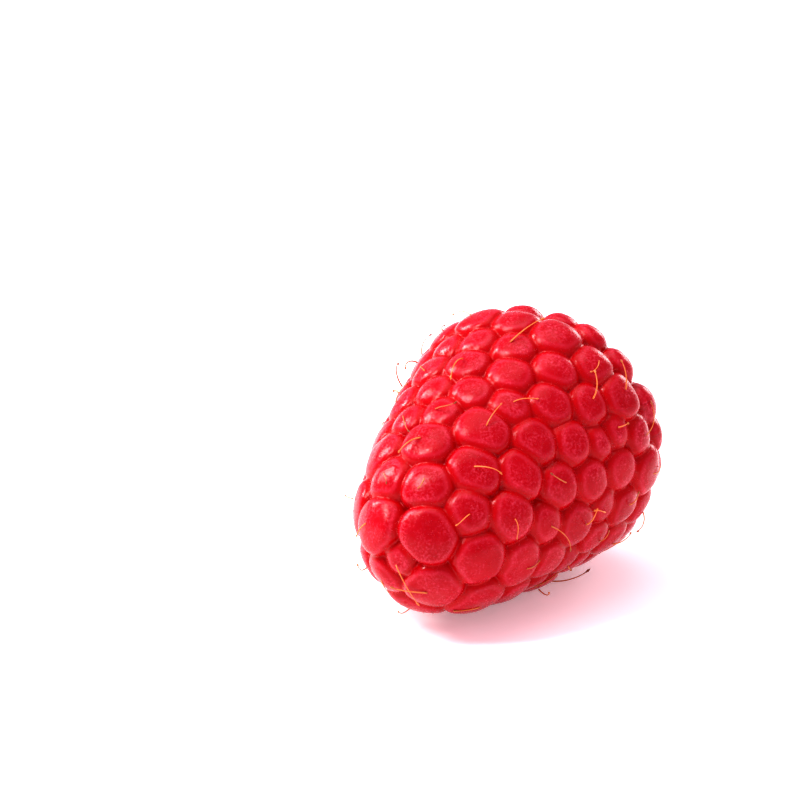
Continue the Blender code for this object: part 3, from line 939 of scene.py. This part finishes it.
@dataclass
class Down:
    """The fine, short down that makes the skin look velvety."""

    skin_piece: bpy.types.Object
    count: int = 8000
    length: Span = (0.12 * MM, 0.34 * MM)
    thickness: float = 0.012 * MM
    tip_share: float = 0.25
    sides: int = 3
    lean: float = 0.55
    seam_limit: float = 0.97
    seed: int = 33

    def build(self, material: bpy.types.Material) -> bpy.types.Object:
        """Makes every hair a three-sided spike that leans a little off the skin's normal.

        The hairs' feet are spread evenly over the outer skin: each is a random place in a triangle
        that is chosen by its area.

        Args:
            material: The hairs' finish.

        Returns:
            The object.
        """
        random = np.random.default_rng(self.seed)
        mesh = self.skin_piece.data
        mesh.calc_loop_triangles()
        triangles = np.empty(3 * len(mesh.loop_triangles), np.int32)
        mesh.loop_triangles.foreach_get("vertices", triangles)
        triangles = triangles.reshape(-1, 3)
        area = np.empty(len(triangles))
        mesh.loop_triangles.foreach_get("area", area)
        place, normal = np.empty(len(mesh.vertices) * 3), np.empty(len(mesh.vertices) * 3)
        mesh.vertices.foreach_get("co", place)
        mesh.vertices.foreach_get("normal", normal)
        hollow, seam = np.empty(len(mesh.vertices)), np.empty(len(mesh.vertices))
        mesh.attributes["hollow"].data.foreach_get("value", hollow)
        mesh.attributes["seam"].data.foreach_get("value", seam)
        open_skin = (hollow[triangles].max(1) == 0.0) & (seam[triangles].max(1) < self.seam_limit)
        weight = area * open_skin
        chosen = triangles[random.choice(len(triangles), self.count, p=weight / weight.sum())]
        share = random.dirichlet(np.ones(3), self.count)[:, :, None]
        foot = (place.reshape(-1, 3)[chosen] * share).sum(1)
        up = unit((normal.reshape(-1, 3)[chosen] * share).sum(1))
        lean = unit(up + self.lean * random.normal(size=(self.count, 3)))
        length = random.uniform(*self.length, (self.count, 1))
        paths = np.stack([foot - self.thickness * up, foot + length * lean], 1)
        paths = paths[inside_box(paths)]
        radii = 0.5 * self.thickness * np.array([1.0, self.tip_share]) * np.ones((len(paths), 1))
        points, faces = tubes(paths, radii, self.sides)
        LOG.info("%d hairs of down", len(paths))
        return new_piece("down", points, faces, material)


class Board:
    """A material's or a group's node tree while it is being wired."""

    def __init__(self, tree: bpy.types.NodeTree) -> None:
        """Keeps the tree to wire."""
        self.tree = tree

    def add(self, kind: str, settings: dict | None = None, **inputs: object) -> bpy.types.Node:
        """Adds a node.

        Args:
            kind: The node's type.
            settings: Its properties.
            inputs: Values or sockets for its inputs, by name with _ for a space, or i0, i1 by number.

        Returns:
            The node.
        """
        node = self.tree.nodes.new(kind)
        for name, value in (settings or {}).items():
            setattr(node, name, value)
        for name, value in inputs.items():
            key = int(name[1:]) if name[0] == "i" and name[1:].isdigit() else name.replace("_", " ")
            socket = node.inputs[key]
            if isinstance(value, bpy.types.NodeSocket):
                self.tree.links.new(value, socket)
            else:
                socket.default_value = value
        return node

    def value(self, name: str) -> bpy.types.NodeSocket:
        """A number kept on the piece's vertices."""
        return self.add("ShaderNodeAttribute", {"attribute_name": name}).outputs["Fac"]

    def place(self) -> bpy.types.NodeSocket:
        """The object's own coordinates."""
        return self.add("ShaderNodeTexCoord").outputs["Object"]

    def math(self, operation: str, *values: object) -> bpy.types.NodeSocket:
        """A sum, product or other operation on numbers."""
        inputs = {f"i{i}": value for i, value in enumerate(values)}
        return self.add("ShaderNodeMath", {"operation": operation}, **inputs).outputs[0]

    def ramp(
        self, value: object, low: float, high: float, start: float = 0.0, end: float = 1.0
    ) -> bpy.types.NodeSocket:
        """A value carried smoothly from one range to another.

        Args:
            value: The number or socket.
            low: Where the first range starts.
            high: Where it ends.
            start: The result at low.
            end: The result at high.

        Returns:
            The result's socket.
        """
        return self.add(
            "ShaderNodeMapRange",
            {"interpolation_type": "SMOOTHSTEP"},
            Value=value, From_Min=low, From_Max=high, To_Min=start, To_Max=end,
        ).outputs["Result"]

    def mix(self, share: object, one: object, other: object) -> bpy.types.NodeSocket:
        """Two colours mixed, by this share of the other."""
        return self.add("ShaderNodeMix", {"data_type": "RGBA"}, i0=share, i6=one, i7=other).outputs[2]

    def bump(self, height: object, strength: float, distance: float) -> bpy.types.NodeSocket:
        """A normal that follows small heights on the surface."""
        return self.add(
            "ShaderNodeBump", Strength=strength, Distance=distance, Height=height
        ).outputs["Normal"]


class SpeckleGroup:
    """The node group for fine grain: noise at one scale, hardened into specks."""

    def __init__(self) -> None:
        """Builds the group once."""
        self.tree = bpy.data.node_groups.new("speckle", "ShaderNodeTree")
        face = self.tree.interface
        face.new_socket("Place", in_out="INPUT", socket_type="NodeSocketVector")
        for name, value in (("Scale", 1000.0), ("Low", 0.4), ("High", 0.7)):
            face.new_socket(name, in_out="INPUT", socket_type="NodeSocketFloat").default_value = value
        face.new_socket("Mask", in_out="OUTPUT", socket_type="NodeSocketFloat")
        board = Board(self.tree)
        given = self.tree.nodes.new("NodeGroupInput").outputs
        noise = board.add(
            "ShaderNodeTexNoise", Vector=given["Place"], Scale=given["Scale"], Detail=3.0, Roughness=0.6
        )
        mask = board.add(
            "ShaderNodeMapRange", Value=noise.outputs["Fac"], From_Min=given["Low"], From_Max=given["High"]
        )
        board.add("NodeGroupOutput", Mask=mask.outputs["Result"])

    def place(self, board: Board, scale: float, low: float, high: float) -> bpy.types.NodeSocket:
        """Places the group in a material.

        Args:
            board: The material's board.
            scale: The grain's scale.
            low: The noise that gives no speck.
            high: The noise that gives a full speck.

        Returns:
            The specks' mask.
        """
        node = board.add(
            "ShaderNodeGroup", {"node_tree": self.tree}, Place=board.place(), Scale=scale, Low=low, High=high
        )
        return node.outputs["Mask"]


def new_material(name: str) -> tuple[bpy.types.Material, Board, bpy.types.Node]:
    """A material with its node board and its shader."""
    material = bpy.data.materials.new(name)
    material.use_nodes = True
    return material, Board(material.node_tree), material.node_tree.nodes["Principled BSDF"]


def link(board: Board, shader: bpy.types.Node, **sockets: bpy.types.NodeSocket) -> None:
    """Links sockets to a shader's inputs, by name with _ for a space."""
    for name, socket in sockets.items():
        board.tree.links.new(socket, shader.inputs[name.replace("_", " ")])


def set_up(shader: bpy.types.Node, **values: object) -> None:
    """Sets a shader's own constant inputs, by name with _ for a space."""
    for name, value in values.items():
        shader.inputs[name.replace("_", " ")].default_value = value


@dataclass(frozen=True)
class SkinFinish:
    """Juicy red skin under velvety down, with painted sheen on it and a painted glow in the creases and
    hollow.

    The spans on the groove run from a crown, at 0, towards a seam, at one half. Those on the hollow
    run from its mouth, at 0, to its closed end, at 1.
    """

    crown: Colour = (0.37, 0.0009, 0.0100, 1.0)
    pale: Colour = (0.47, 0.0024, 0.0160, 1.0)
    dark: Colour = (0.29, 0.0004, 0.0075, 1.0)
    # painted glow: the creases' purer red, painted brighter than the crowns for light through the flesh
    crease: Colour = (0.41, 0.0002, 0.0045, 1.0)
    # painted glow: the hollow's red, painted far brighter than the skin for light through its thin walls
    inner: Colour = (0.86, 0.0010, 0.0036, 1.0)
    dim_hollow_glow: Colour = (0.66, 0.0004, 0.0026, 1.0)
    # the down's pale pink, painted lighter as its sheen
    bloom_and_sheen: Colour = (0.76, 0.115, 0.190, 1.0)
    tone_share: float = 0.6
    crown_share: float = 0.5
    bloom_and_sheen_share: float = 0.40
    # a thin line of painted sheen round the shoulders
    shoulder_sheen_share: float = 0.13
    shoulder_sheen_rise: Span = (0.03, 0.09)
    shoulder_sheen_fall: Span = (0.09, 0.20)
    bloom_and_sheen_fade: Span = (0.03, 0.25)
    crease_glow_start: Span = (0.03, 0.34)
    outside_fade: Span = (0.0, 0.20)
    hollow_glow_start: Span = (0.0, 0.40)
    blotches: Specks = (420.0, 0.30, 0.72)
    patches: Specks = (600.0, 0.38, 0.66)
    grains: Specks = (5200.0, 0.44, 0.66)
    fine_grains: Specks = (11000.0, 0.40, 0.70)
    roughness: Span = (0.15, 0.29)
    bump_shares: Span = (0.7, 0.5)
    bump_strength: float = 0.5
    bump_height: float = 0.012 * MM

    def material(self, speckle: SpeckleGroup) -> bpy.types.Material:
        """Wires the finish.

        Each drupelet's tone and the blotches set the red between dark and pale. The creases are a purer red,
        painted a little brighter as a glow of light through the flesh, and the hollow is painted far brighter
        as the same glow. The down's pale colour lies in patches of grain on the crowns, painted lighter as
        its sheen, and a thin line of painted sheen runs round the shoulders.

        Args:
            speckle: The shared grain group.

        Returns:
            The material.
        """
        material, board, shader = new_material("raspberry_skin")
        groove, tone, hollow = board.value("groove"), board.value("tone"), board.value("hollow")
        blotch, grain = speckle.place(board, *self.blotches), speckle.place(board, *self.grains)
        blotchy = board.math("MULTIPLY", blotch, 1.0 - self.tone_share)
        uneven = board.math("MULTIPLY_ADD", tone, self.tone_share, blotchy)
        colour = board.mix(self.crown_share, board.mix(uneven, self.dark, self.pale), self.crown)
        # painted glow in the creases: a purer red, painted brighter than the crowns
        colour = board.mix(board.ramp(groove, *self.crease_glow_start), colour, self.crease)
        # painted sheen: a thin pale line round each drupelet's shoulder, where down catches grazing light
        rise = board.ramp(groove, *self.shoulder_sheen_rise)
        shoulder = board.math("MULTIPLY", rise, board.ramp(groove, *self.shoulder_sheen_fall, 1.0, 0.0))
        # the down's pale colour in patches on the crowns, painted lighter as its sheen
        frost_and_sheen = board.math("MULTIPLY", grain, board.ramp(groove, *self.bloom_and_sheen_fade, self.bloom_and_sheen_share, 0.0))
        frost_and_sheen = board.math("MULTIPLY", frost_and_sheen, speckle.place(board, *self.patches))
        frost_and_sheen = board.math("MULTIPLY_ADD", shoulder, self.shoulder_sheen_share, frost_and_sheen)
        outside = board.ramp(hollow, *self.outside_fade, 1.0, 0.0)
        colour = board.mix(board.math("MULTIPLY", frost_and_sheen, outside), colour, self.bloom_and_sheen)
        # painted glow: the hollow is painted far brighter red from a little inside its mouth
        inner = board.mix(blotch, self.dim_hollow_glow, self.inner)
        colour = board.mix(board.ramp(hollow, *self.hollow_glow_start), colour, inner)
        smooth, rough = self.roughness
        roughness = board.math("MULTIPLY_ADD", grain, rough - smooth, smooth)
        fine = board.math("MULTIPLY", speckle.place(board, *self.fine_grains), self.bump_shares[1])
        height = board.math("MULTIPLY_ADD", grain, self.bump_shares[0], fine)
        normal = board.bump(height, self.bump_strength, self.bump_height)
        link(board, shader, Base_Color=colour, Roughness=roughness, Normal=normal)
        set_up(shader, IOR=1.34, Specular_IOR_Level=0.34)
        set_up(shader, Subsurface_Weight=0.35, Subsurface_Radius=(1.0, 0.12, 0.10), Subsurface_Scale=0.9 * MM)
        set_up(shader, Sheen_Weight=0.02, Sheen_Roughness=0.35, Sheen_Tint=(1.0, 0.55, 0.66, 1.0))
        return material


@dataclass(frozen=True)
class StyleFinish:
    """Dried, golden to brown threads, darkest at their tips."""

    fresh: Colour = (0.78, 0.27, 0.060, 1.0)
    dried: Colour = (0.42, 0.13, 0.030, 1.0)
    tip: Colour = (0.16, 0.035, 0.010, 1.0)
    tip_start: Span = (0.7, 0.95)
    streaks: Specks = (6000.0, 0.35, 0.75)
    streak_share: float = 0.35
    roughness: Span = (0.38, 0.58)
    bump_strength: float = 0.5
    bump_height: float = 0.01 * MM

    def material(self, speckle: SpeckleGroup) -> bpy.types.Material:
        """Wires the finish.

        Args:
            speckle: The shared grain group.

        Returns:
            The material.
        """
        material, board, shader = new_material("style_thread")
        along, age = board.value("along"), board.value("age")
        colour = board.mix(age, self.fresh, self.dried)
        colour = board.mix(board.math("MULTIPLY", board.ramp(along, *self.tip_start), age), colour, self.tip)
        streak = speckle.place(board, *self.streaks)
        colour = board.mix(board.math("MULTIPLY", streak, self.streak_share), colour, self.dried)
        smooth, rough = self.roughness
        roughness = board.math("MULTIPLY_ADD", streak, rough - smooth, smooth)
        normal = board.bump(streak, self.bump_strength, self.bump_height)
        link(board, shader, Base_Color=colour, Roughness=roughness, Normal=normal)
        set_up(shader, Subsurface_Weight=0.2, Subsurface_Radius=(1.0, 0.5, 0.2), Subsurface_Scale=0.3 * MM)
        return material


@dataclass(frozen=True)
class DownFinish:
    """Pale, slightly pink hairs."""

    colour: Colour = (0.80, 0.11, 0.17, 1.0)
    shade: Colour = (0.66, 0.03, 0.06, 1.0)
    patches: Specks = (900.0, 0.35, 0.65)

    def material(self, speckle: SpeckleGroup) -> bpy.types.Material:
        """Wires the finish.

        Args:
            speckle: The shared grain group.

        Returns:
            The material.
        """
        material, board, shader = new_material("berry_down")
        colour = board.mix(speckle.place(board, *self.patches), self.colour, self.shade)
        link(board, shader, Base_Color=colour)
        set_up(shader, Roughness=0.6, Subsurface_Weight=0.3, Subsurface_Scale=0.2 * MM)
        return material


@dataclass(frozen=True)
class FloorFinish:
    """A plain pale tabletop that glows a little, as a light table does: painted light that lightens the
    berry's shadow on it and tints it a little pink.
    """

    colour: Colour = (0.95, 0.94, 0.945, 1.0)
    cloudy: Colour = (0.93, 0.92, 0.925, 1.0)
    # painted light: the table's own glow lightens the berry's shadow and tints it pink
    glow: Colour = (1.0, 0.94, 0.98, 1.0)
    glow_strength: float = 0.22
    clouds: Specks = (6.0, 0.3, 0.7)

    def material(self, speckle: SpeckleGroup) -> bpy.types.Material:
        """Wires the finish.

        Args:
            speckle: The shared grain group.

        Returns:
            The material.
        """
        material, board, shader = new_material("pale_table")
        colour = board.mix(speckle.place(board, *self.clouds), self.colour, self.cloudy)
        link(board, shader, Base_Color=colour)
        set_up(shader, Roughness=0.55, Emission_Color=self.glow, Emission_Strength=self.glow_strength)
        return material


@dataclass(frozen=True)
class Lamp:
    """A soft rectangular lamp: how far it stands to the right, up and back, its size, and its watts."""

    name: str
    place: tuple[float, float, float]
    size: Span
    power: float


@dataclass
class Studio:
    """A pale table under soft light, and a long lens that looks down on the berry from its tip's side."""

    azimuth: float = math.radians(-58.0)
    elevation: float = math.radians(20.5)
    distance: float = 0.46
    view_width: float = 60.9 * MM
    aim_right: float = -6.7 * MM
    aim_up: float = 14.4 * MM
    clip: Span = (0.01, 10.0)
    table_size: float = 1.6
    table_lines: int = 9
    sky: float = 0.68
    sky_colour: Colour = (1.0, 0.66, 0.78, 1.0)
    lamps: tuple[Lamp, ...] = (
        Lamp("left_pane", (-0.36, 0.28, -0.08), (0.065, 0.19), 1.25),
        Lamp("right_pane", (-0.26, 0.32, 0.20), (0.065, 0.19), 1.25),
        Lamp("top_lamp", (-0.02, 0.50, 0.10), (0.40, 0.40), 0.8),
        Lamp("rim_lamp", (0.26, 0.26, -0.34), (0.18, 0.18), 0.6),
    )

    def axes(self) -> tuple[Vector, Vector, Vector]:
        """The camera's own directions, from the angles that it looks along.

        Returns:
            Right, up and back.
        """
        cos, sin = math.cos(self.azimuth), math.sin(self.azimuth)
        flat, rise = math.cos(self.elevation), math.sin(self.elevation)
        right, back = Vector((cos, sin, 0.0)), Vector((sin * flat, -cos * flat, rise))
        return right, back.cross(right), back

    def table(self, material: bpy.types.Material) -> bpy.types.Object:
        """The floor: a level grid, at the height of the berry's lowest point.

        Args:
            material: The table's finish.

        Returns:
            The object.
        """
        lines = self.table_lines
        side = np.linspace(-0.5, 0.5, lines) * self.table_size
        x, y = np.meshgrid(side, side, indexing="ij")
        points = np.stack([x, y, np.full_like(x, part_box(NODE)[0].z)], 2).reshape(-1, 3)
        index = np.arange(len(points)).reshape(lines, lines)
        quads = np.stack([index[:-1, :-1], index[1:, :-1], index[1:, 1:], index[:-1, 1:]], 2)
        return new_piece("table", points, quads.reshape(-1, 4).tolist(), material)

    def camera(self) -> bpy.types.Object:
        """Makes the scene's camera.

        Returns:
            The camera.
        """
        right, up, back = self.axes()
        data = bpy.data.cameras.new("camera")
        data.clip_start, data.clip_end = self.clip
        data.lens = data.sensor_width * self.distance / self.view_width
        camera = bpy.data.objects.new("camera", data)
        camera.matrix_world = Matrix.Translation(
            self.aim_right * right + self.aim_up * up + self.distance * back
        ) @ Matrix((right, up, back)).transposed().to_4x4()
        bpy.context.scene.collection.objects.link(camera)
        bpy.context.scene.camera = camera
        return camera

    def hang(self, lamp: Lamp) -> None:
        """Hangs a lamp so that it faces the berry.

        Args:
            lamp: The lamp, with its place as the camera sees it.
        """
        data = bpy.data.lights.new(lamp.name, "AREA")
        data.shape = "RECTANGLE"
        data.size, data.size_y = lamp.size
        data.energy = lamp.power
        hung = bpy.data.objects.new(lamp.name, data)
        spot = sum((far * axis for far, axis in zip(lamp.place, self.axes())), Vector())
        middle = Vector((0.0, 0.0, 0.5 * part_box(NODE)[1].z))
        hung.location = middle + spot
        hung.rotation_euler = (-spot).to_track_quat("-Z", "Y").to_euler()
        bpy.context.scene.collection.objects.link(hung)

    def light(self) -> None:
        """Adds the sky and the lamps: a window of two panes upper left, a rim light behind."""
        world = bpy.data.worlds.new("studio")
        world.use_nodes = True
        set_up(world.node_tree.nodes["Background"], Color=self.sky_colour, Strength=self.sky)
        bpy.context.scene.world = world
        for lamp in self.lamps:
            self.hang(lamp)
        bpy.context.scene.view_settings.view_transform = "Standard"
        bpy.context.scene.view_settings.look = "High Contrast"


def main() -> None:
    """Builds the berry, then the studio round it."""
    logging.basicConfig(level=logging.INFO, format="%(name)s: %(message)s")
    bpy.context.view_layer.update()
    speckle = SpeckleGroup()
    skin = BerrySkin(Net(Drupelets()))
    piece = skin.build(SkinFinish().material(speckle))
    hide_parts(NODE)
    styles = Styles(skin).build(StyleFinish().material(speckle))
    down = Down(piece).build(DownFinish().material(speckle))
    for made in (piece, styles, down):
        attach(made, "root")
        made.data.calc_loop_triangles()
        LOG.info("%s: %d triangles", made.name, len(made.data.loop_triangles))
    studio = Studio()
    studio.table(FloorFinish().material(speckle))
    studio.camera()
    studio.light()


if __name__ == "__main__":
    main()
